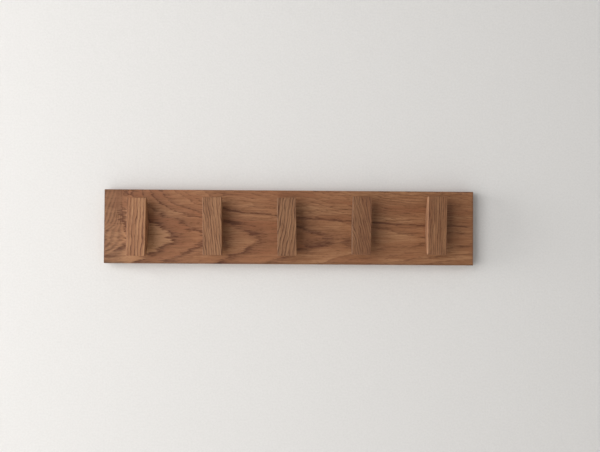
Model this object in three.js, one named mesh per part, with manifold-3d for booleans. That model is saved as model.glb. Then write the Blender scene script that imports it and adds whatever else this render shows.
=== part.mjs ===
// Wall hook rack: a solid oak board that carries a row of upright oak hooks.
//
// Each hook is a short bar with a flat front and a round back. The middle of its back is
// glued and screwed to the board, and both ends stand clear, so a coat's loop drops in
// behind the upper end. The rack hangs on two keyhole plates let into the board's back.
//
// Millimetres. +Z is up, +X runs along the board, to the right as seen from the room, and
// -Y points out into the room. The origin is the centre of the board's back face, which
// lies flat on the wall.

import * as THREE from "three";
import { mergeVertices } from "three/addons/utils/BufferGeometryUtils.js";
import Module from "manifold-3d";

const wasm = await Module();
wasm.setup();

// Board
const boardLength = 500;
const boardHeight = 100;
const boardThickness = 18;

// Hooks
const hookPitch = 100;
const hookWidth = 25;
const hookDepth = 25; // from the board to the flat front
const hookHeight = 77;
const tipThickness = 9; // front to back at the hook's upper and lower ends
const padHeight = 20; // flat at the middle of the back, where the hook meets the board
const rowShift = -2.5; // the row of hooks sits a little left of the board's middle
const glueLine = 0.2;
const arcSegments = 20;

// The hooks are set by eye. Left to right, each has a shift along the row from its even
// place, a rise of its middle over the board's, and a lean clockwise, seen from the room.
const hookSettings = [
  { shift: 0, rise: -1, leanDegrees: 0.5 },
  { shift: 0.8, rise: 0.4, leanDegrees: -0.9 },
  { shift: -0.3, rise: 0.4, leanDegrees: -1 },
  { shift: -0.5, rise: 2.4, leanDegrees: 0.9 },
  { shift: -0.2, rise: 3.2, leanDegrees: 0.7 },
];

// Screws: head and shank follow one outline, and each hole is that outline, grown
const hookScrew = { length: 35, headRadius: 4, rimHeight: 0.5, shankRadius: 1.9, tipLength: 4 };
const plateScrew = { length: 12, headRadius: 2.9, rimHeight: 0.3, shankRadius: 1.4, tipLength: 2.5 };
const hookScrewSpacing = 14;
const hookScrewSink = 0.5; // the head lies this far below the board's back
const screwClearance = 0.3;
const screwSegments = 20;
const driveWidth = 0.22; // of the head radius: the cross recess, as half a slot's width
const driveReach = 0.62; // of the head radius: from the middle to the end of a slot
const driveDepth = 0.45; // of the head radius

// Keyhole plates
const plateSpacing = 300;
const plateRise = 12; // the plates' centres lie this far above the board's middle
const plateWidth = 16;
const plateHeight = 48;
const plateThickness = 2;
const plateSink = 0.2; // the plate lies this far below the board's back
const plateScrewSpacing = 36;
const plateScrewSink = 0.4;
const entryRadius = 4.75; // lets a wall screw's head through
const slotWidth = 4.6; // holds the wall screw's shank
const entryZ = -6; // from the plate's centre
const slotTopZ = 8;
const seatClearance = 0.3;
const cavityWidth = 11; // room for the wall screw's head behind the plate
const cavityDepth = 8;
const cutterOverrun = 1;

const oakBoardMaterial = { color: 0x9a6f50, roughness: 0.62, metalness: 0 };
const oakHookMaterial = { color: 0xa47a58, roughness: 0.6, metalness: 0 };
const plateMaterial = { color: 0xa9acae, roughness: 0.38, metalness: 0.9 };
const screwMaterial = { color: 0xc2b27a, roughness: 0.34, metalness: 0.9 };

function toSolid(geometry) {
  const bare = geometry.clone();
  bare.deleteAttribute("normal");
  bare.deleteAttribute("uv");
  const merged = mergeVertices(bare);
  return new wasm.Manifold(
    new wasm.Mesh({
      numProp: 3,
      vertProperties: new Float32Array(merged.getAttribute("position").array),
      triVerts: new Uint32Array(merged.getIndex().array),
    }),
  );
}

function toGeometry(solid) {
  const { vertProperties, triVerts } = solid.getMesh();
  const geometry = new THREE.BufferGeometry();
  geometry.setAttribute("position", new THREE.BufferAttribute(vertProperties, 3));
  geometry.setIndex(new THREE.BufferAttribute(triVerts, 1));
  geometry.computeVertexNormals();
  return geometry;
}

function namedMesh(name, geometry, look, position) {
  const material = new THREE.MeshStandardMaterial({ ...look, flatShading: true });
  const mesh = new THREE.Mesh(geometry, material);
  mesh.name = name;
  mesh.position.copy(position);
  return mesh;
}

// A flat outline drawn in X and Z, extruded from backY towards the room.
function slab(shape, backY, depth) {
  const options = { depth, bevelEnabled: false, curveSegments: screwSegments / 2 };
  const geometry = new THREE.ExtrudeGeometry(shape, options);
  geometry.rotateX(Math.PI / 2);
  geometry.translate(0, backY, 0);
  return geometry;
}

// An upright slot with round ends, given by the centres of its two ends.
function slotShape(width, bottomZ, topZ) {
  const shape = new THREE.Shape();
  shape.absarc(0, topZ, width / 2, 0, Math.PI, false);
  shape.absarc(0, bottomZ, width / 2, Math.PI, 2 * Math.PI, false);
  return shape;
}

function circleShape(radius, centreZ) {
  return new THREE.Shape().absarc(0, centreZ, radius, 0, 2 * Math.PI, false);
}

// A countersunk screw's outline turned about Y. The top of its head is at y = 0, and it
// points towards -Y. With grow above zero it is the hole that the screw lies in.
function screwBody(screw, grow) {
  const coneHeight = screw.headRadius - screw.shankRadius;
  const headY = grow > 0 ? cutterOverrun : 0;
  const headRadius = screw.headRadius + grow;
  const shankRadius = screw.shankRadius + grow;
  const outline = [
    new THREE.Vector2(0, -screw.length - grow),
    new THREE.Vector2(shankRadius * 0.3, -screw.length - grow),
    new THREE.Vector2(shankRadius, -screw.length + screw.tipLength),
    new THREE.Vector2(shankRadius, -screw.rimHeight - coneHeight),
    new THREE.Vector2(headRadius, -screw.rimHeight),
    new THREE.Vector2(headRadius, headY),
    new THREE.Vector2(0, headY),
  ];
  return toSolid(new THREE.LatheGeometry(outline, screwSegments));
}

function screwGeometry(screw) {
  const reach = 2 * driveReach * screw.headRadius;
  const width = 2 * driveWidth * screw.headRadius;
  const depth = 2 * driveDepth * screw.headRadius;
  const acrossX = toSolid(new THREE.BoxGeometry(reach, depth, width));
  const acrossZ = toSolid(new THREE.BoxGeometry(width, depth, reach));
  return toGeometry(screwBody(screw, 0).subtract(acrossX.add(acrossZ)));
}

// The hook's side outline: x is the distance out from the board, y is the height. One arc
// runs from each end of the pad to the tip.
function hookProfile() {
  const standOff = hookDepth - tipThickness;
  const halfHeight = hookHeight / 2;
  const halfPad = padHeight / 2;
  const arcCentre = (halfHeight ** 2 + standOff ** 2 - halfPad ** 2) / (2 * standOff);
  const arcRadius = Math.hypot(halfPad, arcCentre);
  const tipAngle = Math.atan2(halfHeight, standOff - arcCentre);
  const padAngle = Math.atan2(halfPad, -arcCentre);
  const shape = new THREE.Shape();
  shape.moveTo(hookDepth, -halfHeight);
  shape.lineTo(hookDepth, halfHeight);
  shape.absarc(arcCentre, 0, arcRadius, tipAngle, padAngle, false);
  shape.absarc(arcCentre, 0, arcRadius, -padAngle, -tipAngle, false);
  return shape;
}

// The holes for one hook's two screws, about the hook's pad.
function hookScrewHoles() {
  const upper = screwBody(hookScrew, screwClearance);
  const headY = boardThickness + glueLine - hookScrewSink;
  const halfSpacing = hookScrewSpacing / 2;
  return upper.translate([0, headY, halfSpacing]).add(upper.translate([0, headY, -halfSpacing]));
}

// A hook about its pad's centre, with the holes for its two screws.
function hookGeometry() {
  const options = { depth: hookWidth, bevelEnabled: false, curveSegments: arcSegments };
  const bar = new THREE.ExtrudeGeometry(hookProfile(), options);
  bar.translate(0, 0, -hookWidth / 2);
  const outwards = new THREE.Vector3(0, -1, 0);
  const upwards = new THREE.Vector3(0, 0, 1);
  const sideways = new THREE.Vector3().crossVectors(outwards, upwards);
  bar.applyMatrix4(new THREE.Matrix4().makeBasis(outwards, upwards, sideways));
  return toGeometry(toSolid(bar).subtract(hookScrewHoles()));
}

function plateShape(grow) {
  const endZ = (plateHeight - plateWidth) / 2;
  return slotShape(plateWidth + 2 * grow, -endZ, endZ);
}

// A keyhole plate about its own centre, with the board's back face at y = 0.
function plateGeometry() {
  const cutDepth = plateSink + plateThickness + 2 * cutterOverrun;
  const entry = toSolid(slab(circleShape(entryRadius, entryZ), cutterOverrun, cutDepth));
  const slot = toSolid(slab(slotShape(slotWidth, entryZ, slotTopZ), cutterOverrun, cutDepth));
  let plate = toSolid(slab(plateShape(0), -plateSink, plateThickness));
  plate = plate.subtract(entry.add(slot));
  for (const screwZ of [plateScrewSpacing / 2, -plateScrewSpacing / 2]) {
    plate = plate.subtract(screwBody(plateScrew, screwClearance).translate([0, -plateScrewSink, screwZ]));
  }
  return toGeometry(plate);
}

// The recess for one plate: a shallow seat, the deeper cavity, and the two screw holes.
function plateRecess() {
  const seatDepth = plateSink + plateThickness + seatClearance;
  const seat = toSolid(slab(plateShape(seatClearance), cutterOverrun, seatDepth + cutterOverrun));
  const cavityShape = slotShape(cavityWidth, entryZ, slotTopZ);
  const cavity = toSolid(slab(cavityShape, cutterOverrun, cavityDepth + cutterOverrun));
  let recess = seat.add(cavity);
  for (const screwZ of [plateScrewSpacing / 2, -plateScrewSpacing / 2]) {
    recess = recess.add(screwBody(plateScrew, screwClearance).translate([0, -plateScrewSink, screwZ]));
  }
  return recess;
}

// Where the middle of a hook's pad lies.
function hookPlace(index) {
  const { shift, rise } = hookSettings[index];
  const evenX = rowShift + (index - (hookSettings.length - 1) / 2) * hookPitch;
  return new THREE.Vector3(evenX + shift, -boardThickness - glueLine, rise);
}

function boardGeometry() {
  const blank = new THREE.BoxGeometry(boardLength, boardThickness, boardHeight);
  blank.translate(0, -boardThickness / 2, 0);
  let board = toSolid(blank);
  hookSettings.forEach(({ leanDegrees }, index) => {
    const holes = hookScrewHoles().rotate([0, leanDegrees, 0]);
    board = board.subtract(holes.translate(hookPlace(index).toArray()));
  });
  for (const side of [1, -1]) {
    board = board.subtract(plateRecess().translate([(side * plateSpacing) / 2, 0, plateRise]));
  }
  return toGeometry(board);
}

const rack = new THREE.Group();
rack.name = "wall_hook_rack";

rack.add(namedMesh("back_board", boardGeometry(), oakBoardMaterial, new THREE.Vector3()));

const hookShape = hookGeometry();
const hookScrewShape = screwGeometry(hookScrew);
hookSettings.forEach(({ leanDegrees }, index) => {
  const name = `hook_${index + 1}`;
  const hookGroup = new THREE.Group();
  hookGroup.position.copy(hookPlace(index));
  hookGroup.rotation.y = THREE.MathUtils.degToRad(leanDegrees);
  hookGroup.add(namedMesh(name, hookShape, oakHookMaterial, new THREE.Vector3()));
  for (const [level, side] of [["upper", 1], ["lower", -1]]) {
    const headY = boardThickness + glueLine - hookScrewSink;
    const place = new THREE.Vector3(0, headY, (side * hookScrewSpacing) / 2);
    hookGroup.add(namedMesh(`${name}_${level}_screw`, hookScrewShape, screwMaterial, place));
  }
  rack.add(hookGroup);
});

const hangerPlateShape = plateGeometry();
const plateScrewShape = screwGeometry(plateScrew);
for (const [hand, handSide] of [["left", -1], ["right", 1]]) {
  const plateX = (handSide * plateSpacing) / 2;
  const place = new THREE.Vector3(plateX, 0, plateRise);
  rack.add(namedMesh(`${hand}_hanger_plate`, hangerPlateShape, plateMaterial, place));
  for (const [level, side] of [["upper", 1], ["lower", -1]]) {
    const screwZ = plateRise + (side * plateScrewSpacing) / 2;
    const screwPlace = new THREE.Vector3(plateX, -plateScrewSink, screwZ);
    rack.add(namedMesh(`${hand}_hanger_${level}_screw`, plateScrewShape, screwMaterial, screwPlace));
  }
}

export default rack;
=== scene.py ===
import math

import bmesh
import bpy
from mathutils import Matrix, Vector


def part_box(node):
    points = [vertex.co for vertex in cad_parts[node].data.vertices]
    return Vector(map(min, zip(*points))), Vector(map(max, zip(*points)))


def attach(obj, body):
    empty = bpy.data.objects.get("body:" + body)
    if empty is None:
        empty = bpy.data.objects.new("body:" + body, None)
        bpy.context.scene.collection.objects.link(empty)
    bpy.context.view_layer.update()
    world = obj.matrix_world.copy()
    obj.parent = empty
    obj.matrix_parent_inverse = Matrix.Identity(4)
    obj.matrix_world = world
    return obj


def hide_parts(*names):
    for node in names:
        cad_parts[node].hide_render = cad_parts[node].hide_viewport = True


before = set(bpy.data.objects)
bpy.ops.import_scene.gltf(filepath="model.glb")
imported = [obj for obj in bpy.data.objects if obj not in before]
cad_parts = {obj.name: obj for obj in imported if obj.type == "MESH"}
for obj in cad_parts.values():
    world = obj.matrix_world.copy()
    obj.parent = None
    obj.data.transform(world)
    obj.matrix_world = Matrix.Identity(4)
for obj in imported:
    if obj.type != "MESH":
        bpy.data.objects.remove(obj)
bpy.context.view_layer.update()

# The wall hook rack hangs on a wall, and is seen from the room. Metres, as in the frame:
# +X along the board to the right, +Y into the wall, +Z up. Materials work in millimetres.
MM = 0.001

# Board and hooks
EASED_EDGE = 0.45 * MM
EDGE_SEGMENTS = 3
EASED_IF_SHARPER = 30  # degrees
FLAT_FACE_ANGLE = 12  # degrees: smooth round the arcs, but not over an eased edge
TIP_THICKNESS = 9 * MM
PAD_HEIGHT = 20 * MM
HOOK_WIDTH = 25 * MM
HOOK_HEIGHT = 77 * MM
HOOK_ARC_SEGMENTS = 28
HOOK_LEAN_DEGREES = (0.5, -0.9, -1.0, 0.9, 0.7)

# Screws and keyhole plates
HOOK_SCREW = {"head": 4 * MM, "rim": 0.5 * MM, "shank": 1.9 * MM, "tip": 4 * MM, "pitch": 1.8 * MM}
PLATE_SCREW = {"head": 2.9 * MM, "rim": 0.3 * MM, "shank": 1.4 * MM, "tip": 2.5 * MM, "pitch": 1.3 * MM}
SCREW_CLEARANCE = 0.3 * MM
SCREW_SEGMENTS = 32
SCREW_SMOOTH_ANGLE = 30  # degrees
SCREW_TIP = 0.3  # of the shank's radius
HEAD_FLAT = 0.97  # of the head's radius
HEAD_FALL = 0.05 * MM
NECK_LENGTH = 2 * MM
NECK_TAPER = 0.6 * MM
THREAD_FROM_HEAD = 3 * MM
THREAD_SHORT_OF_TIP = 0.5 * MM
THREAD_STEPS = 20  # in one turn
THREAD_FIRST_LIFT = 0.1  # of its full lift, which it reaches in the first third of its length
THREAD_DEPTH = 0.3  # of the shank's radius
THREAD_HALF_WIDTH = 0.22  # of the pitch
THREAD_ROOT = 0.8  # of the core's radius, so that the ridge's foot is inside the shank
DRIVE_REACH = 0.62  # of the head's radius
DRIVE_HALF_WIDTH = 0.2  # of the head's radius
DRIVE_DEPTH = 0.45  # of the head's radius
DRIVE_FLOOR = 0.45  # of the drive's reach
ENTRY_RADIUS = 4.75 * MM
ENTRY_STRETCH = MM / 100  # makes the entry's slot all but round
SLOT_WIDTH = 4.6 * MM
ENTRY_BELOW_CENTRE = 6 * MM
SLOT_ABOVE_CENTRE = 8 * MM
SEAT_CLEARANCE = 0.3 * MM
CAVITY_WIDTH = 11 * MM
CAVITY_DEPTH = 8 * MM
SLOT_SEGMENTS = 20
PLATE_EDGE = 0.25 * MM
PLATE_EDGE_SEGMENTS = 2
PLATE_EDGE_ANGLE = 50  # degrees
OVERRUN = 1 * MM

# Camera: a 50 mm lens on a full frame, a little over a metre from the board
LENS = 50
SENSOR_WIDTH = 36
CAMERA_PLACE = (4.7 * MM, -1.147, -24.7 * MM)
CAMERA_YAW_DEGREES = 0.517
CAMERA_PITCH_DEGREES = 1.354
CAMERA_ROLL_DEGREES = 0.385
CLIP_START = 0.02

# Room
WALL_GAP = 0.6 * MM
ROOM_HALF_WIDTH = 4.0
ROOM_DEPTH = 5.0
FLOOR_Z = -0.9
CEILING_Z = 1.3
DAYLIGHT = (1.0, 0.985, 0.965)
BEHIND_LIGHT = (1.0, 0.99, 0.97)
# Each lamp points at the origin: its place, width, height, power and colour
LAMPS = {
    "window": ((-1.25, -1.75, 0.2), 1.5, 1.9, 25.5, DAYLIGHT),
    "side_window": ((-3.4, -0.9, 0.15), 1.3, 2.2, 73, DAYLIGHT),
    "behind": ((0.2, 2.4, 0.1), 1.6, 1.6, 40, BEHIND_LIGHT),
}
ROOM_GLOW = (1.0, 0.995, 0.99)
ROOM_GLOW_STRENGTH = 0.325

# Two colours that each plain material varies between
WALL_COLOURS = ((0.785, 0.778, 0.770), (0.815, 0.808, 0.800))
FLOOR_COLOURS = ((0.67, 0.66, 0.64), (0.74, 0.73, 0.71))
PLATE_COLOURS = ((0.50, 0.51, 0.52), (0.68, 0.69, 0.70))
SCREW_COLOURS = ((0.62, 0.50, 0.24), (0.72, 0.60, 0.36))
WHITE = (1.0, 1.0, 1.0)  # leaves a colour that it multiplies as it is
# How fast their noise changes in each mm
ROLLER_RATE = 0.09
MOTTLE_RATE = 0.4
FLOOR_RATE = 0.004
PLATE_GRAIN_RATES = (3.0, 0.12)  # across and up
SPANGLE_RATE = 0.3
STAIN_RATE = 0.5

board_low, board_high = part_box("back_board")
hook_names = [f"hook_{number}" for number in range(1, 6)]


# ---------------------------------------------------------------- camera and stage


def make_camera():
    yaw = math.radians(CAMERA_YAW_DEGREES)
    pitch = math.radians(CAMERA_PITCH_DEGREES)
    roll = math.radians(CAMERA_ROLL_DEGREES)
    forward = Vector(
        (math.sin(yaw) * math.cos(pitch), math.cos(yaw) * math.cos(pitch), math.sin(pitch))
    )
    level_right = Vector((math.cos(yaw), -math.sin(yaw), 0))
    level_up = level_right.cross(forward)
    right = math.cos(roll) * level_right + math.sin(roll) * level_up
    up = right.cross(forward)
    camera = bpy.data.objects.new("camera", bpy.data.cameras.new("camera"))
    camera.data.lens = LENS
    camera.data.sensor_width = SENSOR_WIDTH
    camera.data.clip_start = CLIP_START
    axes = Matrix((right, up, -forward)).transposed()
    camera.matrix_world = Matrix.Translation(CAMERA_PLACE) @ axes.to_4x4()
    bpy.context.scene.collection.objects.link(camera)
    bpy.context.scene.camera = camera


def flat_sheet(name, corners):
    mesh = bpy.data.meshes.new(name)
    mesh.from_pydata(corners, [], [tuple(range(len(corners)))])
    sheet = bpy.data.objects.new(name, mesh)
    bpy.context.scene.collection.objects.link(sheet)
    return sheet


def make_stage():
    wall = flat_sheet(
        "wall",
        [
            (-ROOM_HALF_WIDTH, WALL_GAP, FLOOR_Z),
            (ROOM_HALF_WIDTH, WALL_GAP, FLOOR_Z),
            (ROOM_HALF_WIDTH, WALL_GAP, CEILING_Z),
            (-ROOM_HALF_WIDTH, WALL_GAP, CEILING_Z),
        ],
    )
    wall.data.materials.append(wall_paint())
    wall.visible_shadow = False  # so that the lamp behind it lights the rack's back
    floor = flat_sheet(
        "floor",
        [
            (-ROOM_HALF_WIDTH, -ROOM_DEPTH, FLOOR_Z),
            (ROOM_HALF_WIDTH, -ROOM_DEPTH, FLOOR_Z),
            (ROOM_HALF_WIDTH, ROOM_DEPTH, FLOOR_Z),
            (-ROOM_HALF_WIDTH, ROOM_DEPTH, FLOOR_Z),
        ],
    )
    floor.data.materials.append(floor_finish())


def area_light(name, place, width, height, power, colour):
    light = bpy.data.lights.new(name, "AREA")
    light.shape = "RECTANGLE"
    light.size = width
    light.size_y = height
    light.energy = power
    light.color = colour
    lamp = bpy.data.objects.new(name, light)
    direction = -Vector(place)
    lamp.matrix_world = (
        Matrix.Translation(place) @ direction.to_track_quat("-Z", "Y").to_matrix().to_4x4()
    )
    lamp.visible_camera = False
    bpy.context.scene.collection.objects.link(lamp)


def make_light():
    for name, settings in LAMPS.items():
        area_light(name, *settings)
    world = bpy.data.worlds.new("room")
    world.use_nodes = True
    background = world.node_tree.nodes["Background"]
    background.inputs["Color"].default_value = (*ROOM_GLOW, 1)
    background.inputs["Strength"].default_value = ROOM_GLOW_STRENGTH
    bpy.context.scene.world = world
    bpy.context.scene.view_settings.view_transform = "Standard"


# ---------------------------------------------------------------- material nodes


class Graph:
    """The nodes of one material. Every value is a number, a colour or a node's socket."""

    def __init__(self, name):
        self.material = bpy.data.materials.new(name)
        self.material.use_nodes = True
        self.tree = self.material.node_tree
        self.tree.nodes.clear()

    def node(self, kind, **settings):
        made = self.tree.nodes.new(kind)
        for key, value in settings.items():
            setattr(made, key, value)
        return made

    def feed(self, socket, value):
        if isinstance(value, bpy.types.NodeSocket):
            self.tree.links.new(value, socket)
        else:
            socket.default_value = value

    def math(self, operation, first, second=0.0):
        made = self.node("ShaderNodeMath", operation=operation)
        for socket, value in zip(made.inputs, (first, second)):
            self.feed(socket, value)
        return made.outputs[0]

    def add(self, first, second):
        return self.math("ADD", first, second)

    def subtract(self, first, second):
        return self.math("SUBTRACT", first, second)

    def multiply(self, first, second):
        return self.math("MULTIPLY", first, second)

    def total(self, *terms):
        result = terms[0]
        for term in terms[1:]:
            result = self.add(result, term)
        return result

    def smooth(self, value, low, high, out_low=0.0, out_high=1.0):
        made = self.node("ShaderNodeMapRange", interpolation_type="SMOOTHSTEP")
        for name, item in (
            ("Value", value),
            ("From Min", low),
            ("From Max", high),
            ("To Min", out_low),
            ("To Max", out_high),
        ):
            self.feed(made.inputs[name], item)
        return made.outputs["Result"]

    def curve(self, value, points):
        """Straight lines through (x, y) points, level before the first and after the last."""
        low = points[0][0]
        span = points[-1][0] - low
        floor = min(y for _, y in points)
        height = max(y for _, y in points) - floor
        made = self.node("ShaderNodeFloatCurve")
        line = made.mapping.curves[0]
        for index, (x, y) in enumerate(points):
            at = ((x - low) / span, (y - floor) / height)
            if index < 2:
                line.points[index].location = at
            else:
                line.points.new(*at)
        for point in line.points:
            point.handle_type = "VECTOR"
        made.mapping.update()
        share = self.math("DIVIDE", self.subtract(value, low), span)
        held = self.math("MINIMUM", self.math("MAXIMUM", share, 0.0), 1.0)
        self.feed(made.inputs["Value"], held)
        return self.add(self.multiply(made.outputs[0], height), floor)

    def vector(self, x, y, z):
        made = self.node("ShaderNodeCombineXYZ")
        for socket, value in zip(made.inputs, (x, y, z)):
            self.feed(socket, value)
        return made.outputs[0]

    def scaled(self, places, rates):
        """A vector of three places, each times its own rate."""
        return self.vector(*(self.multiply(place, rate) for place, rate in zip(places, rates)))

    def noise(self, vector, detail=2.0, roughness=0.5):
        made = self.node("ShaderNodeTexNoise")
        self.feed(made.inputs["Vector"], vector)
        made.inputs["Scale"].default_value = 1.0
        made.inputs["Detail"].default_value = detail
        made.inputs["Roughness"].default_value = roughness
        return made.outputs["Fac"]

    def random(self, value):
        made = self.node("ShaderNodeTexWhiteNoise", noise_dimensions="1D")
        self.feed(made.inputs["W"], value)
        return made.outputs["Value"]

    def ramp(self, value, stops):
        """Straight lines through (place, level) stops, for values from 0 to 1."""
        made = self.node("ShaderNodeValToRGB")
        elements = made.color_ramp.elements
        while len(elements) < len(stops):
            elements.new(0.5)
        for element, (position, level) in zip(elements, stops):
            element.position = position
            element.color = (level, level, level, 1)
        self.feed(made.inputs["Fac"], value)
        return made.outputs["Color"]

    def mix(self, share, first, second, blend="MIX"):
        made = self.node("ShaderNodeMix", data_type="RGBA", blend_type=blend)
        self.feed(made.inputs["Factor"], share)
        for name, value in (("A", first), ("B", second)):
            sockets = [s for s in made.inputs if s.name == name and s.type == "RGBA"]
            full = (*value, 1) if isinstance(value, tuple) else value
            self.feed(sockets[0], full)
        return [s for s in made.outputs if s.type == "RGBA"][0]

    def place_mm(self):
        """The point's X, Y and Z in the frame, in millimetres."""
        where = self.node("ShaderNodeTexCoord").outputs["Object"]
        scaled = self.node("ShaderNodeVectorMath", operation="SCALE")
        self.feed(scaled.inputs[0], where)
        scaled.inputs["Scale"].default_value = 1 / MM
        split = self.node("ShaderNodeSeparateXYZ")
        self.feed(split.inputs[0], scaled.outputs[0])
        return split.outputs[0], split.outputs[1], split.outputs[2]

    def surface(self, colour, roughness, bump=None, bump_mm=0.0, metallic=0.0, specular=0.5):
        shader = self.node("ShaderNodeBsdfPrincipled")
        self.feed(shader.inputs["Base Color"], colour)
        self.feed(shader.inputs["Roughness"], roughness)
        shader.inputs["Metallic"].default_value = metallic
        shader.inputs["Specular IOR Level"].default_value = specular
        if bump is not None:
            relief = self.node("ShaderNodeBump")
            relief.inputs["Distance"].default_value = bump_mm * MM
            self.feed(relief.inputs["Height"], bump)
            self.feed(shader.inputs["Normal"], relief.outputs["Normal"])
        return shader.outputs["BSDF"]

    def finish(self, shader):
        output = self.node("ShaderNodeOutputMaterial")
        self.feed(output.inputs["Surface"], shader)
        return self.material


# ---------------------------------------------------------------- stage materials


def wall_paint():
    """Off-white matt paint. From behind it lets the view through to the rack's back."""
    graph = Graph("wall_paint")
    x, _, z = graph.place_mm()
    point = graph.vector(graph.multiply(x, ROLLER_RATE), graph.multiply(z, ROLLER_RATE), 0.0)
    roller = graph.noise(point, detail=3, roughness=0.6)
    fine_point = graph.vector(graph.multiply(x, MOTTLE_RATE), graph.multiply(z, MOTTLE_RATE), 5.0)
    mottled = graph.smooth(graph.noise(fine_point, detail=2), 0.3, 0.7)
    colour = graph.mix(mottled, *WALL_COLOURS)
    paint = graph.surface(colour, roughness=0.9, bump=roller, bump_mm=0.25, specular=0.1)
    clear = graph.node("ShaderNodeBsdfTransparent").outputs[0]
    mixer = graph.node("ShaderNodeMixShader")
    graph.feed(mixer.inputs[0], graph.node("ShaderNodeNewGeometry").outputs["Backfacing"])
    graph.feed(mixer.inputs[1], paint)
    graph.feed(mixer.inputs[2], clear)
    return graph.finish(mixer.outputs[0])


def floor_finish():
    graph = Graph("pale_floor")
    x, y, _ = graph.place_mm()
    point = graph.vector(graph.multiply(x, FLOOR_RATE), graph.multiply(y, FLOOR_RATE), 0.0)
    cloud = graph.noise(point, detail=3)
    colour = graph.mix(cloud, *FLOOR_COLOURS)
    return graph.finish(graph.surface(colour, roughness=0.8, specular=0.2))


# ---------------------------------------------------------------- oak


# The board's growth rings make arches whose tips point to the right. All in millimetres.
# Where along the arches' middle line each ring has its tip: (place, ring).
RING_TIPS = (
    (-420, -22), (-250, -3), (-222, 0), (-158, 1), (-119, 2), (-43, 3), (46, 4), (190, 5),
    (260, 6), (1700, 22),
)
ARCH_MIDDLE_Z = -16.0
ARCH_WANDER = 16.0
ARCH_ROUNDING = 15.0
ARCH_SIDES_BLEND = 4.0  # on both sides of the middle line
# How far an arch's side goes back along the board for each mm that it goes up or down,
# by the place along the board
UPPER_SLOPE = (
    (-250, -0.35), (-234, -0.35), (-214, 1.1), (-190, 1.8), (-150, 2.5), (-86, 3.4), (30, 6.5),
    (110, 12.0), (250, 14.0),
)
LOWER_SLOPE = (
    (-250, 2.0), (-200, 2.2), (-119, 2.8), (-40, 3.4), (30, 6.5), (110, 12.0), (250, 14.0),
)
# Far above the middle line, the sides turn nearly level over most of the board
LEVEL_ABOVE = 22.0
LEVEL_SLOPE = ((-200, 0.0), (-90, 12.0), (250, 12.0))
RING_DEPTH = 3.2
# Noise that bends the arches and that gives them teeth: how fast it changes in each mm
BEND_RATES = (0.014, 0.03)  # along and up
COARSE_RATES = (0.02, 0.2, 0.2)  # along, up and through
FINE_RATES = (0.05, 0.5, 0.5)  # along, up and through
# Length of the rings' teeth along the grain
COARSE_TEETH = 36.0
FINE_TEETH = 40.0
LEVEL_TEETH = 0.14  # longer where the sides turn level, for each unit of their slope
LEVEL_TEETH_ABOVE = (16.0, 30.0)
# The left end has narrow rings with short teeth. It sets in between these two places, and
# between these two heights above the middle line its grain turns calm and gets more rings.
LEFT_END = (-215.0, -232.0)
CALM_ABOVE = (8.0, 26.0)
LEFT_END_TEETH = -0.86  # change in the teeth's length, as a share of it
CALM_TEETH = -0.11  # a further change where the grain is calm
LEFT_END_DARKNESS = 0.19
ADDED_RING_FROM = -222.0
ADDED_RING_SPACING = 14.0
# Between these two heights, the least redness of the late wood goes from first to last
LEAST_RED_HEIGHTS = (12.0, 32.0)
LEAST_RED = (-0.5, 0.1)
BOARD_RING_START = 40.0  # added to a ring's number, which sets its random strength and redness
# Dark streaks that lie across the rings: (place along the board, height)
LONG_STREAK = (
    (-90, 26.0), (-66, 20.5), (-32, 19.0), (-15, 15.0), (30, 13.5), (85, 9.5), (184, 4.0), (250, 3.0),
)
LONG_STREAK_WIDTH = 1.6
SHORT_STREAK = ((-92, 8.5), (-55, 6.0))
SHORT_STREAK_WIDTH = 2.2
STREAK_WANDER = 7.0
STREAK_ABOVE = 0.8  # how far its upper edge fades
STREAK_BELOW = (-2.0, -0.2)  # where it begins and is full, in widths from its path
STREAK_STARTS = (-8.0, 2.0)  # the same along the board, from its path's first place
STREAK_ENDS = (4.0, -20.0)  # and from its last
STREAK_RATE = 0.03  # how fast its strength changes in each mm
STREAK_STRENGTHS = (0.35, 0.85)
# Ragged dark patches: (place along the board, height, half width, half height, strength)
DARK_PATCHES = (
    (-222.5, 12.0, 5.5, 14.0, 0.6), (-214.0, -17.0, 3.0, 3.5, 0.7), (34.0, -21.0, 13.0, 7.0, 0.4),
    (83.0, -20.0, 7.0, 8.0, 0.4), (-86.0, -24.0, 5.0, 9.0, 0.4),
)
PATCH_COARSE_TEETH = 24.0
PATCH_FINE_TEETH = 30.0
PATCH_EDGE = (1.6, 0.4)  # where one begins and is full, in squares of its half sizes
# The rim is darker: painted shade along the eased edges, most along the underside and least along the
# top; at the ends it darkens the end grain too. Where that begins and is full, in mm in from the
# board's edge.
RIM_AT_ENDS = (1.7, 0.3)
RIM_AT_UNDERSIDE = (4.2, 1.0)
RIM_AT_TOP = (2.0, 0.5)
RIM_PAINTED_SHADE = 0.3
TOP_EDGE_SHARE = 0.4  # of that darkness
# Painted shade along the board: how bright the wood is painted from end to end, mostly darker towards
# the right, away from the light from the left
PAINTED_BOARD_FALLOFF = ((-250, 1.0), (-150, 1.02), (-40, 1.0), (30, 0.965), (120, 0.93), (250, 0.94))

# By ring: how dark its early wood is, and how red its late wood. Negative is yellower.
RING_DARKNESS = ((-22, 0.8), (-1, 0.8), (0, 1.1), (1, 1.35), (2, 1.0), (4, 1.0), (5, 0.6), (22, 0.75))
RING_REDNESS = (
    (-22, -0.2), (-1, -0.3), (0.1, -0.5), (0.9, -0.5), (1.1, 0.3), (2, 0.1), (3, 0.25), (5, 0.1),
    (22, 0.1),
)

# Oiled oak, from the palest late wood to the open pores
OAK_PALE = (0.480, 0.245, 0.118)
OAK_RED = (0.310, 0.117, 0.049)
OAK_TAN = (0.270, 0.112, 0.046)
OAK_EARLY = (0.135, 0.045, 0.019)
OAK_PORE = (0.070, 0.024, 0.010)

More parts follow.
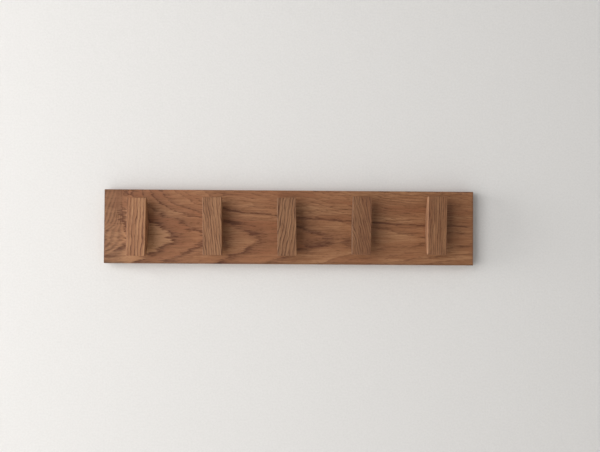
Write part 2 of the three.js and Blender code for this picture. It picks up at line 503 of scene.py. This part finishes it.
# Length along the grain and width across it, in mm, of what the oak is made up of
FIBRE = (38.0, 2.3)
FLECK = (14.0, 1.5)
FINE_PORE = (7.0, 0.55)
CLOUD = (80.0, 12.0)
PATCH = (30.0, 4.0)
# From one ring's start (0) to the next's (1): how much of it is dark early wood
RING_PROFILE = (
    (0.0, 0.35), (0.03, 1.0), (0.09, 0.72), (0.2, 0.34), (0.45, 0.12), (0.9, 0.0), (1.0, 0.3),
)
NARROW_RING_PROFILE = ((0.0, 0.75), (0.25, 0.6), (0.5, 0.0), (0.75, 0.15), (1.0, 0.75))
LEAST_RING_STRENGTH = 0.75
RING_STRENGTH_SPREAD = 0.35
# The early wood is weaker where the patch noise is low, and stronger where it is high
PATCH_NOISE = (0.35, 0.65)
PATCH_STRENGTHS = (0.5, 1.25)
EARLY_COVER = 0.88
# Open pores, large and small: the noise's least height, how much less it is in early wood,
# and the soft edge about that height
DASHES = (0.60, 0.13, -0.02, 0.09)
PORES = (0.62, 0.12, 0.0, 0.08)
PORE_COVER = 0.9
# Tan streaks come where the fibre noise is high, and calm grain has an even share of them.
# They get weaker from one place in a ring to another, and in yellow rings.
STREAK_EDGE = (0.33, 0.67)
CALM_STREAK = 0.7
LATE_SHARES = (0.45, 0.95)
LATE_STREAK = (0.96, 0.66)
YELLOW_STREAK = 0.6  # for each unit that a ring's redness is below zero
# The redness of the late wood is its ring's, and these three: a noise, a random part and a start
CLOUD_RED = 1.3
RANDOM_RED = 0.3
RED_START = -0.4
RED_NUMBER = 7.3  # added to a ring's number, so that its redness isn't tied to its strength
# Roughness, and what pores and streaks add to it
OAK_ROUGHNESS = 0.48
PORE_ROUGHNESS = 0.25
STREAK_ROUGHNESS = 0.06
OAK_SPECULAR = 0.35
# Relief, and the shares of it that fibres stand up, and pores and early wood lie lower
OAK_RELIEF_MM = 0.12
FIBRE_HEIGHT = 0.3
PORE_DEPTH = 0.7
EARLY_DEPTH = 0.25


def oak_shader(
    graph, along, across, through, ring, darkness, redness, marks=0.0, narrow=0.0, calm=0.0,
    dashes=0.55, fibre_width=FIBRE[1], shade=1.0, colour=WHITE,
):
    """Oak with its grain along the first of three directions in mm.

    ring counts the growth rings, and darkness and redness are those of the ring. marks makes
    it darker for other reasons, narrow says where rings are slow-grown and mostly early wood,
    calm takes streaks away, dashes is how dark the open pores are, fibre_width is that of the
    streaks, and shade and colour multiply the whole piece.
    """
    def wood_noise(length, width, detail, roughness=0.5):
        stretched = graph.scaled((along, across, through), (1 / length, 1 / width, 1 / width))
        return graph.noise(stretched, detail, roughness)

    fibre = wood_noise(FIBRE[0], fibre_width, 4, 0.68)
    cloud = wood_noise(*CLOUD, 2)
    share = graph.math("FRACT", ring)
    number = graph.math("FLOOR", ring)
    patchy = graph.smooth(wood_noise(*PATCH, 2), *PATCH_NOISE, *PATCH_STRENGTHS)
    strength = graph.multiply(ring_strength(graph, number, darkness), patchy)
    early = early_wood(graph, share, strength, narrow, marks)

    not_calm = graph.subtract(1.0, calm)
    dash = open_pores(graph, wood_noise(*FLECK, 3, 0.6), early, *DASHES)
    dash = graph.multiply(graph.multiply(dash, dashes), not_calm)
    pore = open_pores(graph, wood_noise(*FINE_PORE, 2), early, *PORES)
    streak = graph.smooth(fibre, *STREAK_EDGE)
    streak = graph.add(graph.multiply(streak, not_calm), graph.multiply(calm, CALM_STREAK))

    ground = late_wood(graph, cloud, number, redness)
    late = graph.smooth(share, *LATE_SHARES, *LATE_STREAK)
    yellow = graph.math("MINIMUM", redness, 0.0)
    late = graph.add(late, graph.multiply(yellow, YELLOW_STREAK))
    streaked = graph.mix(graph.multiply(streak, late), ground, OAK_TAN)
    ringed = graph.mix(graph.multiply(early, EARLY_COVER), streaked, OAK_EARLY)
    dashed = graph.mix(dash, ringed, OAK_EARLY)
    pored = graph.mix(graph.multiply(pore, PORE_COVER * dashes), dashed, OAK_PORE)
    coloured = graph.mix(1.0, pored, colour, blend="MULTIPLY")
    shaded = graph.mix(1.0, coloured, graph.vector(shade, shade, shade), blend="MULTIPLY")

    roughness = graph.total(
        OAK_ROUGHNESS, graph.multiply(pore, PORE_ROUGHNESS), graph.multiply(streak, STREAK_ROUGHNESS)
    )
    sunk = graph.add(graph.multiply(pore, PORE_DEPTH), graph.multiply(early, EARLY_DEPTH))
    height = graph.subtract(graph.multiply(fibre, FIBRE_HEIGHT), sunk)
    return graph.surface(
        shaded, roughness, bump=height, bump_mm=OAK_RELIEF_MM, specular=OAK_SPECULAR
    )


def ring_strength(graph, number, darkness):
    """How dark a ring's early wood is, a little different in each ring."""
    spread = graph.multiply(graph.random(number), RING_STRENGTH_SPREAD)
    return graph.multiply(graph.add(spread, LEAST_RING_STRENGTH), darkness)


def early_wood(graph, share, strength, narrow, marks):
    """How much of the wood is dark early wood, at most 1."""
    profile = graph.mix(
        narrow, graph.ramp(share, RING_PROFILE), graph.ramp(share, NARROW_RING_PROFILE)
    )
    return graph.math("MINIMUM", graph.add(graph.multiply(profile, strength), marks), 1.0)


def open_pores(graph, noise, early, cut, less_in_early, edge_low, edge_high):
    """Pores where a noise is high, closer together in the early wood."""
    least = graph.subtract(cut, graph.multiply(early, less_in_early))
    return graph.smooth(graph.subtract(noise, least), edge_low, edge_high)


def late_wood(graph, cloud, number, redness):
    """The colour of the wood between its streaks, pores and early wood."""
    random_red = graph.multiply(graph.random(graph.add(number, RED_NUMBER)), RANDOM_RED)
    red = graph.total(graph.multiply(cloud, CLOUD_RED), random_red, RED_START, redness)
    return graph.mix(graph.smooth(red, 0.0, 1.0), OAK_PALE, OAK_RED)


def teeth_of(graph, coarse, fine, coarse_length, fine_length):
    """How far ragged ends reach along the grain, from two noises about 0.5."""
    return graph.add(
        graph.multiply(graph.subtract(coarse, 0.5), coarse_length),
        graph.multiply(graph.subtract(fine, 0.5), fine_length),
    )


def board_ring(graph, x, y, z, coarse, fine, left_end):
    """The ring that each point of the board is in, and how calm its grain is there.

    Gives the ring as seen on the front, the ring at the point's depth, and the calm.
    """
    depth = graph.subtract(y, board_low.y / MM)
    along_rate, up_rate = BEND_RATES
    bend = graph.noise(
        graph.vector(graph.multiply(x, along_rate), graph.multiply(z, up_rate), 3.0), detail=2
    )
    above = graph.total(z, -ARCH_MIDDLE_Z, graph.multiply(graph.subtract(bend, 0.5), ARCH_WANDER))
    flank = graph.subtract(
        graph.math("SQRT", graph.add(graph.multiply(above, above), ARCH_ROUNDING**2)),
        ARCH_ROUNDING,
    )
    is_upper = graph.smooth(above, -ARCH_SIDES_BLEND, ARCH_SIDES_BLEND)
    slope = graph.add(
        graph.multiply(graph.curve(x, UPPER_SLOPE), is_upper),
        graph.multiply(graph.curve(x, LOWER_SLOPE), graph.subtract(1.0, is_upper)),
    )
    far_above = graph.math("MAXIMUM", graph.subtract(above, LEVEL_ABOVE), 0.0)
    level_slope = graph.curve(x, LEVEL_SLOPE)
    level = graph.multiply(level_slope, far_above)

    calm = graph.multiply(left_end, graph.smooth(above, *CALM_ABOVE))
    teeth_share = graph.total(
        1.0,
        graph.multiply(left_end, LEFT_END_TEETH),
        graph.multiply(calm, CALM_TEETH),
        graph.multiply(level_slope, graph.smooth(above, *LEVEL_TEETH_ABOVE, 0.0, LEVEL_TEETH)),
    )
    teeth = graph.multiply(teeth_of(graph, coarse, fine, COARSE_TEETH, FINE_TEETH), teeth_share)
    tip = graph.total(x, graph.multiply(slope, flank), level, teeth)
    front_ring = graph.curve(tip, RING_TIPS)
    added = graph.math("DIVIDE", graph.subtract(tip, ADDED_RING_FROM), ADDED_RING_SPACING)
    ring = graph.subtract(
        graph.add(front_ring, graph.multiply(calm, added)), graph.math("DIVIDE", depth, RING_DEPTH)
    )
    return front_ring, ring, calm


def board_shade(graph, x, z, left_end):
    """How bright the board is: painted shade darkens it towards the right and a little along its rim,
    and its left end is darker.
    """
    half_length = (board_high.x - board_low.x) / 2 / MM
    half_height = (board_high.z - board_low.z) / 2 / MM
    # Painted shade along the rim, most along the underside and least along the top
    ends = graph.smooth(graph.math("ABSOLUTE", x), *(half_length - gap for gap in RIM_AT_ENDS))
    underside = graph.smooth(z, *(gap - half_height for gap in RIM_AT_UNDERSIDE))
    top = graph.smooth(z, *(half_height - gap for gap in RIM_AT_TOP), 0.0, TOP_EDGE_SHARE)
    rim = graph.math("MAXIMUM", ends, graph.math("MAXIMUM", underside, top))
    # Painted shade falling off towards the right, and darker at the left end
    falloff_and_left_end = graph.subtract(graph.curve(x, PAINTED_BOARD_FALLOFF), graph.multiply(left_end, LEFT_END_DARKNESS))
    return graph.subtract(falloff_and_left_end, graph.multiply(rim, RIM_PAINTED_SHADE))


def board_oak():
    """Flat-sawn oak, straighter towards the right end."""
    graph = Graph("board_oak")
    x, y, z = graph.place_mm()
    coarse = graph.noise(graph.scaled((x, z, y), COARSE_RATES), detail=1)
    fine = graph.noise(graph.scaled((x, z, y), FINE_RATES), detail=3, roughness=0.65)
    left_end = graph.smooth(x, *LEFT_END)
    front_ring, ring, calm = board_ring(graph, x, y, z, coarse, fine, left_end)
    marks = graph.add(
        dark_streak(graph, x, z, fine, LONG_STREAK, LONG_STREAK_WIDTH),
        dark_streak(graph, x, z, fine, SHORT_STREAK, SHORT_STREAK_WIDTH),
    )
    for patch in DARK_PATCHES:
        marks = graph.add(marks, dark_patch(graph, x, z, coarse, fine, *patch))
    least_red = graph.smooth(z, *LEAST_RED_HEIGHTS, *LEAST_RED)
    shader = oak_shader(
        graph, x, z, y, graph.add(ring, BOARD_RING_START),
        darkness=graph.curve(front_ring, RING_DARKNESS),
        redness=graph.math("MAXIMUM", graph.curve(front_ring, RING_REDNESS), least_red),
        marks=marks,
        narrow=left_end,
        calm=calm,
        shade=board_shade(graph, x, z, left_end),
    )
    return graph.finish(shader)


def dark_streak(graph, x, z, ragged, path, width):
    """A streak along a path of (place along the board, height), sharp above and soft below."""
    height = graph.add(
        graph.curve(x, path), graph.multiply(graph.subtract(ragged, 0.5), STREAK_WANDER)
    )
    off_path = graph.subtract(z, height)
    top = graph.smooth(off_path, STREAK_ABOVE, 0.0)
    underside = graph.smooth(off_path, *(share * width for share in STREAK_BELOW))
    starts = graph.smooth(x, *(path[0][0] + gap for gap in STREAK_STARTS))
    ends = graph.smooth(x, *(path[-1][0] + gap for gap in STREAK_ENDS))
    patchy = graph.noise(graph.vector(graph.multiply(x, STREAK_RATE), 0.0, 0.0), detail=2)
    strength = graph.smooth(patchy, 0.25, 0.6, *STREAK_STRENGTHS)
    return graph.multiply(
        graph.multiply(graph.multiply(top, underside), graph.multiply(starts, ends)), strength
    )


def dark_patch(graph, x, z, coarse, fine, middle_x, middle_z, half_width, half_height, strength):
    """Early wood that the surface meets at a low angle, with teeth along the grain."""
    teeth = teeth_of(graph, coarse, fine, PATCH_COARSE_TEETH, PATCH_FINE_TEETH)
    sideways = graph.math("DIVIDE", graph.total(x, teeth, -middle_x), half_width)
    upwards = graph.math("DIVIDE", graph.subtract(z, middle_z), half_height)
    far = graph.add(graph.multiply(sideways, sideways), graph.multiply(upwards, upwards))
    return graph.smooth(far, *PATCH_EDGE, 0.0, strength)


# Each hook's own piece of oak: how its grain leans and waves, how far apart its rings are
# in mm, how dark their early wood is, how red and how bright the wood is next to the
# board's (the brightness falls towards the right of the row, partly the pieces' own colour
# and partly painted shade for the light from the left), and how much brighter its left side
# is painted next to its front, a painted highlight for the light from the left
HOOK_GRAIN = {
    "hook_1": {
        "lean": 1.5, "wave": 1.6, "ring": 4.4, "early": 1.7,
        "red": -0.2, "shade": 1.02, "left": 1.2,
    },
    "hook_2": {
        "lean": -6.0, "wave": 2.6, "ring": 3.4, "early": 1.55,
        "red": -0.25, "shade": 0.84, "left": 1.3,
    },
    "hook_3": {
        "lean": 9.0, "wave": 2.2, "ring": 4.8, "early": 1.7,
        "red": -0.12, "shade": 0.73, "left": 1.15,
    },
    "hook_4": {
        "lean": -14.0, "wave": 4.6, "ring": 3.4, "early": 1.5,
        "red": 0.12, "shade": 0.69, "left": 1.1,
    },
    "hook_5": {
        "lean": 1.0, "wave": 1.6, "ring": 2.9, "early": 1.3,
        "red": 0.02, "shade": 0.74, "left": 1.7,
    },
}
LEFT_SIDE_HIGHLIGHT = (0.94, 1.08, 1.32)  # of a hook's left side: a painted highlight for the light from the left, paler than its front
LEFT_HIGHLIGHT_EDGE = (0.9, 0.1)  # from where in from that side the painted highlight begins and is full
HOOK_FIBRE_WIDTH = 1.5
HOOK_DASHES = 0.45
HOOK_WAVE_RATES = (0.06, 0.06, 0.03)  # across, through and along
HOOK_TEETH_RATES = (0.5, 0.5, 0.035)  # across, through and along
HOOK_TEETH = 0.7  # in rings
HOOK_RING_DEPTH = 2.2  # of the rings' spacing in front
# Where a hook lies in the row sets where its noise and its rings' numbers start
HOOK_NOISE_SHIFT = 3.0
HOOK_RING_START = 60.0
HOOK_RING_SHIFT = 0.013


def hook_oak(name, centre, lean):
    """Oak standing on end, with straighter grain than the board's."""
    graph = Graph(name + "_oak")
    grain = HOOK_GRAIN[name]
    x, y, z = graph.place_mm()
    middle = centre.x / MM
    lean_slope = math.tan(math.radians(lean))
    grain_slope = math.tan(math.radians(grain["lean"]))
    upright = graph.subtract(graph.subtract(x, middle), graph.multiply(z, lean_slope))
    across = graph.subtract(upright, graph.multiply(z, grain_slope))
    along = graph.add(z, HOOK_NOISE_SHIFT * middle)
    wave = graph.noise(graph.scaled((across, y, along), HOOK_WAVE_RATES), detail=2)
    teeth = graph.noise(graph.scaled((across, y, along), HOOK_TEETH_RATES), detail=3)
    ring = graph.total(
        graph.math("DIVIDE", across, grain["ring"]),
        graph.math("DIVIDE", y, HOOK_RING_DEPTH * grain["ring"]),
        graph.multiply(wave, grain["wave"]),
        graph.multiply(teeth, HOOK_TEETH),
        HOOK_RING_START + HOOK_RING_SHIFT * middle,
    )
    # The left side gets a painted highlight for the light from the left: brighter and paler
    side = graph.smooth(upright, *(gap - HOOK_WIDTH / 2 / MM for gap in LEFT_HIGHLIGHT_EDGE))
    # Each hook's shade, mostly darker towards the right of the row: partly the pieces' own colour,
    # partly painted shade for the light from the left
    shade = graph.multiply(graph.add(graph.multiply(side, grain["left"] - 1.0), 1.0), grain["shade"])
    shader = oak_shader(
        graph, along, across, y, ring, darkness=grain["early"], redness=grain["red"],
        dashes=HOOK_DASHES, fibre_width=HOOK_FIBRE_WIDTH, shade=shade,
        colour=graph.mix(side, WHITE, LEFT_SIDE_HIGHLIGHT),
    )
    return graph.finish(shader)


# ---------------------------------------------------------------- metal


def zinc_plate():
    graph = Graph("plate_zinc")
    x, _, z = graph.place_mm()
    across_rate, up_rate = PLATE_GRAIN_RATES
    point = graph.vector(graph.multiply(x, across_rate), 0.0, graph.multiply(z, up_rate))
    grain = graph.noise(point, detail=3)
    point = graph.vector(graph.multiply(x, SPANGLE_RATE), 0.0, graph.multiply(z, SPANGLE_RATE))
    spangle = graph.noise(point, detail=3)
    colour = graph.mix(spangle, *PLATE_COLOURS)
    roughness = graph.add(graph.multiply(grain, 0.25), 0.25)
    return graph.finish(graph.surface(colour, roughness, bump=grain, bump_mm=0.02, metallic=1.0))


def yellow_zinc():
    graph = Graph("screw_zinc")
    x, y, z = graph.place_mm()
    stain = graph.noise(graph.scaled((x, y, z), (STAIN_RATE, STAIN_RATE, STAIN_RATE)), detail=3)
    colour = graph.mix(stain, *SCREW_COLOURS)
    roughness = graph.add(graph.multiply(stain, 0.2), 0.25)
    return graph.finish(graph.surface(colour, roughness, bump=stain, bump_mm=0.02, metallic=1.0))


# ---------------------------------------------------------------- shapes


def new_object(name, mesh_builder):
    mesh = bpy.data.meshes.new(name)
    mesh_builder.to_mesh(mesh)
    mesh_builder.free()
    made = bpy.data.objects.new(name, mesh)
    bpy.context.scene.collection.objects.link(made)
    return made


def prism(outline, thickness, to_place):
    """An outline of (a, b) points swept along c by thickness, then placed by a function."""
    shape = bmesh.new()
    rings = []
    for c in (0, thickness):
        rings.append([shape.verts.new(to_place(a, b, c)) for a, b in outline])
    count = len(outline)
    for index in range(count):
        after = (index + 1) % count
        shape.faces.new((rings[0][index], rings[0][after], rings[1][after], rings[1][index]))
    shape.faces.new(rings[0])
    shape.faces.new(rings[1])
    bmesh.ops.recalc_face_normals(shape, faces=shape.faces)
    return shape


def ease_edges(shape):
    sharp = [
        edge for edge in shape.edges
        if edge.calc_face_angle(0) > math.radians(EASED_IF_SHARPER)
    ]
    bmesh.ops.bevel(
        shape, geom=sharp, offset=EASED_EDGE, offset_type="OFFSET", segments=EDGE_SEGMENTS,
        profile=0.5, affect="EDGES", clamp_overlap=True,
    )


def cut(piece, cutters):
    """Takes the cutters' shapes out of the piece, for good, and removes them."""
    for cutter in cutters:
        step = piece.modifiers.new("cut", "BOOLEAN")
        step.operation = "DIFFERENCE"
        step.solver = "EXACT"
        step.object = cutter
    apply_modifiers(piece)
    for cutter in cutters:
        bpy.data.objects.remove(cutter)


def apply_modifiers(piece):
    bpy.context.view_layer.update()
    ready = piece.evaluated_get(bpy.context.evaluated_depsgraph_get())
    finished = bpy.data.meshes.new_from_object(ready)
    piece.modifiers.clear()
    piece.data = finished


def smooth_over(piece, degrees):
    for face in piece.data.polygons:
        face.use_smooth = True
    piece.data.set_sharp_from_angle(angle=math.radians(degrees))


def settle(piece, material, node):
    """Gives a piece its material, and puts it in the place of its CAD node."""
    piece.data.materials.clear()
    piece.data.materials.append(material)
    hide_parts(node)
    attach(piece, "root")


def turned(outline):
    """A (radius, y) outline turned about the Y axis. It starts and ends on that axis."""
    shape = bmesh.new()
    rings = []
    for radius, y in outline:
        if radius == 0:
            rings.append([shape.verts.new((0, y, 0))])
            continue
        turns = [2 * math.pi * step / SCREW_SEGMENTS for step in range(SCREW_SEGMENTS)]
        rings.append(
            [shape.verts.new((radius * math.cos(t), y, radius * math.sin(t))) for t in turns]
        )
    for first, second in zip(rings, rings[1:]):
        for step in range(SCREW_SEGMENTS):
            after = (step + 1) % SCREW_SEGMENTS
            corners = [first[step % len(first)], first[after % len(first)]]
            corners += [second[after % len(second)], second[step % len(second)]]
            unique = list(dict.fromkeys(corners))
            shape.faces.new(unique)
    bmesh.ops.recalc_face_normals(shape, faces=shape.faces)
    return shape


def hole_outline(screw, length):
    """A screw's hole, wider and deeper than the screw by its clearance."""
    head = screw["head"] + SCREW_CLEARANCE
    shank = screw["shank"] + SCREW_CLEARANCE
    tip = screw["shank"] * SCREW_TIP + SCREW_CLEARANCE
    bottom = -length - SCREW_CLEARANCE
    return [
        (0, OVERRUN),
        (head, OVERRUN),
        (head, -screw["rim"]),
        (shank, -screw["rim"] - (screw["head"] - screw["shank"])),
        (shank, -length + screw["tip"]),
        (tip, bottom),
        (0, bottom),
    ]


def screw_hole(screw, node):
    """A cutter for the hole that a CAD screw lies in."""
    low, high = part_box(node)
    hole = new_object("hole", turned(hole_outline(screw, high.y - low.y)))
    middle = (low + high) / 2
    hole.data.transform(Matrix.Translation((middle.x, high.y, middle.z)))
    return hole


def make_board():
    outline = [
        (board_low.x, board_low.z), (board_high.x, board_low.z),
        (board_high.x, board_high.z), (board_low.x, board_high.z),
    ]
    thickness = board_high.y - board_low.y
    shape = prism(outline, thickness, lambda a, b, c: (a, board_low.y + c, b))
    ease_edges(shape)
    board = new_object("back_board_oak", shape)
    cutters = []
    for name in hook_names:
        cutters += [screw_hole(HOOK_SCREW, f"{name}_{level}_screw") for level in ("upper", "lower")]
    for hand in ("left", "right"):
        cutters += plate_recess(hand)
    cut(board, cutters)
    smooth_over(board, FLAT_FACE_ANGLE)
    settle(board, board_oak(), "back_board")


def hook_outline(depth, height):
    """The hook's side: a is the distance out from the board, b the height."""
    stand_off = depth - TIP_THICKNESS
    half = height / 2
    pad = PAD_HEIGHT / 2
    centre = (half**2 + stand_off**2 - pad**2) / (2 * stand_off)
    radius = math.hypot(pad, centre)
    tip_angle = math.atan2(half, stand_off - centre)
    pad_angle = math.atan2(pad, -centre)
    points = [(depth, -half), (depth, half)]
    for first, last in ((tip_angle, pad_angle), (-pad_angle, -tip_angle)):
        for step in range(HOOK_ARC_SEGMENTS + 1):
            angle = first + (last - first) * step / HOOK_ARC_SEGMENTS
            points.append((centre + radius * math.cos(angle), radius * math.sin(angle)))
    return points


def make_hook(name, lean):
    low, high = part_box(name)
    centre = (low + high) / 2
    outline = hook_outline(high.y - low.y, HOOK_HEIGHT)
    shape = prism(outline, HOOK_WIDTH, lambda a, b, c: (c - HOOK_WIDTH / 2, -a, b))
    ease_edges(shape)
    hook = new_object(name + "_oak", shape)
    place = Matrix.Translation((centre.x, high.y, centre.z))
    hook.data.transform(place @ Matrix.Rotation(math.radians(lean), 4, "Y"))
    cut(hook, [screw_hole(HOOK_SCREW, f"{name}_{level}_screw") for level in ("upper", "lower")])
    smooth_over(hook, FLAT_FACE_ANGLE)
    settle(hook, hook_oak(name, centre, lean), name)


def slot_outline(width, bottom, top):
    """An upright slot with round ends, whose arcs are centred on bottom and top."""
    points = []
    for centre, start in ((top, 0.0), (bottom, math.pi)):
        for step in range(SLOT_SEGMENTS + 1):
            angle = start + math.pi * step / SLOT_SEGMENTS
            points.append((width / 2 * math.cos(angle), centre + width / 2 * math.sin(angle)))
    return points


def slot_block(name, outline, middle, back_y, depth):
    """An upright outline about a plate's middle, from back_y towards the room by depth."""
    shape = prism(outline, depth, lambda a, b, c: (middle.x + a, back_y - c, middle.z + b))
    return new_object(name, shape)


def plate_recess(hand):
    """Cutters for a plate's seat, for the hollow behind its keyhole and for its two screws."""
    low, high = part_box(f"{hand}_hanger_plate")
    middle = (low + high) / 2
    width = high.x - low.x
    end = (high.z - low.z - width) / 2
    seat = slot_block(
        "seat", slot_outline(width + 2 * SEAT_CLEARANCE, -end, end), middle, OVERRUN,
        OVERRUN - low.y + SEAT_CLEARANCE,
    )
    cavity = slot_block(
        "cavity", slot_outline(CAVITY_WIDTH, -ENTRY_BELOW_CENTRE, SLOT_ABOVE_CENTRE), middle,
        OVERRUN, OVERRUN + CAVITY_DEPTH,
    )
    holes = [screw_hole(PLATE_SCREW, f"{hand}_hanger_{level}_screw") for level in ("upper", "lower")]
    return [seat, cavity, *holes]


def make_plate(hand, material):
    node = f"{hand}_hanger_plate"
    low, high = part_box(node)
    middle = (low + high) / 2
    width = high.x - low.x
    end = (high.z - low.z - width) / 2
    plate = slot_block(
        node + "_steel", slot_outline(width, -end, end), middle, high.y, high.y - low.y
    )
    depth = high.y - low.y + 2 * OVERRUN
    entry_outline = slot_outline(
        2 * ENTRY_RADIUS, -ENTRY_BELOW_CENTRE, -ENTRY_BELOW_CENTRE + ENTRY_STRETCH
    )
    entry = slot_block("entry", entry_outline, middle, high.y + OVERRUN, depth)
    slot = slot_block(
        "slot", slot_outline(SLOT_WIDTH, -ENTRY_BELOW_CENTRE, SLOT_ABOVE_CENTRE),
        middle, high.y + OVERRUN, depth,
    )
    holes = [screw_hole(PLATE_SCREW, f"{hand}_hanger_{level}_screw") for level in ("upper", "lower")]
    cut(plate, [entry, slot, *holes])
    edge = plate.modifiers.new("edge", "BEVEL")
    edge.width = PLATE_EDGE
    edge.segments = PLATE_EDGE_SEGMENTS
    edge.limit_method = "ANGLE"
    edge.angle_limit = math.radians(PLATE_EDGE_ANGLE)
    apply_modifiers(plate)
    smooth_over(plate, FLAT_FACE_ANGLE)
    settle(plate, material, node)


def thread(screw, length):
    """A ridge wound round the shank, from below the head down to the tip."""
    start = -screw["rim"] - (screw["head"] - screw["shank"]) - THREAD_FROM_HEAD
    end = -length + THREAD_SHORT_OF_TIP
    shape = bmesh.new()
    turns = (start - end) / screw["pitch"]
    steps = int(turns * THREAD_STEPS)
    half = screw["pitch"] * THREAD_HALF_WIDTH
    lift = screw["shank"] * THREAD_DEPTH
    sections = []
    for step in range(steps + 1):
        angle = 2 * math.pi * turns * step / steps
        y = start + (end - start) * step / steps
        above_tip = min(1.0, (y + length) / screw["tip"])
        core = screw["shank"] * (SCREW_TIP + (1 - SCREW_TIP) * above_tip) - lift
        crest = core + lift * min(1.0, 3 * step / steps + THREAD_FIRST_LIFT)
        root = core * THREAD_ROOT
        section = []
        for radius, shift in ((root, half), (crest, 0.0), (root, -half)):
            section.append(
                shape.verts.new((radius * math.cos(angle), y + shift, radius * math.sin(angle)))
            )
        sections.append(section)
    for first, second in zip(sections, sections[1:]):
        for index in range(3):
            after = (index + 1) % 3
            shape.faces.new((first[index], first[after], second[after], second[index]))
    shape.faces.new(sections[0])
    shape.faces.new(sections[-1])
    bmesh.ops.recalc_face_normals(shape, faces=shape.faces)
    return shape


def cross_cutter(screw):
    """Cutters for the cross recess in a screw's head."""
    reach = DRIVE_REACH * screw["head"]
    half = DRIVE_HALF_WIDTH * screw["head"]
    depth = DRIVE_DEPTH * screw["head"]
    floor = DRIVE_FLOOR * reach
    outline = [
        (-reach, OVERRUN), (reach, OVERRUN), (reach, 0), (floor, -depth), (-floor, -depth),
        (-reach, 0),
    ]
    along_x = prism(outline, 2 * half, lambda a, b, c: (a, b, c - half))
    along_z = prism(outline, 2 * half, lambda a, b, c: (c - half, b, a))
    return [new_object("drive", along_x), new_object("drive", along_z)]


def make_screw(node, screw, material):
    low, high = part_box(node)
    middle = (low + high) / 2
    length = high.y - low.y
    core = screw["shank"] * (1 - THREAD_DEPTH)
    neck = -screw["rim"] - screw["head"] + screw["shank"]
    outline = [
        (0, 0),
        (screw["head"] * HEAD_FLAT, 0),
        (screw["head"], -HEAD_FALL),
        (screw["head"], -screw["rim"]),
        (screw["shank"], neck),
        (screw["shank"], neck - NECK_LENGTH),
        (core, neck - NECK_LENGTH - NECK_TAPER),
        (core, -length + screw["tip"]),
        (0, -length),
    ]
    piece = new_object(node + "_steel", turned(outline))
    cut(piece, cross_cutter(screw))
    ridge = new_object("ridge", thread(screw, length))
    joined = bmesh.new()
    joined.from_mesh(piece.data)
    joined.from_mesh(ridge.data)
    joined.to_mesh(piece.data)
    joined.free()
    bpy.data.objects.remove(ridge)
    piece.data.transform(Matrix.Translation((middle.x, high.y, middle.z)))
    smooth_over(piece, SCREW_SMOOTH_ANGLE)
    settle(piece, material, node)


def make_rack():
    make_board()
    for name, lean in zip(hook_names, HOOK_LEAN_DEGREES):
        make_hook(name, lean)
    steel = zinc_plate()
    yellow = yellow_zinc()
    for hand in ("left", "right"):
        make_plate(hand, steel)
        for level in ("upper", "lower"):
            make_screw(f"{hand}_hanger_{level}_screw", PLATE_SCREW, yellow)
    for name in hook_names:
        for level in ("upper", "lower"):
            make_screw(f"{name}_{level}_screw", HOOK_SCREW, yellow)


make_camera()
make_stage()
make_light()
make_rack()
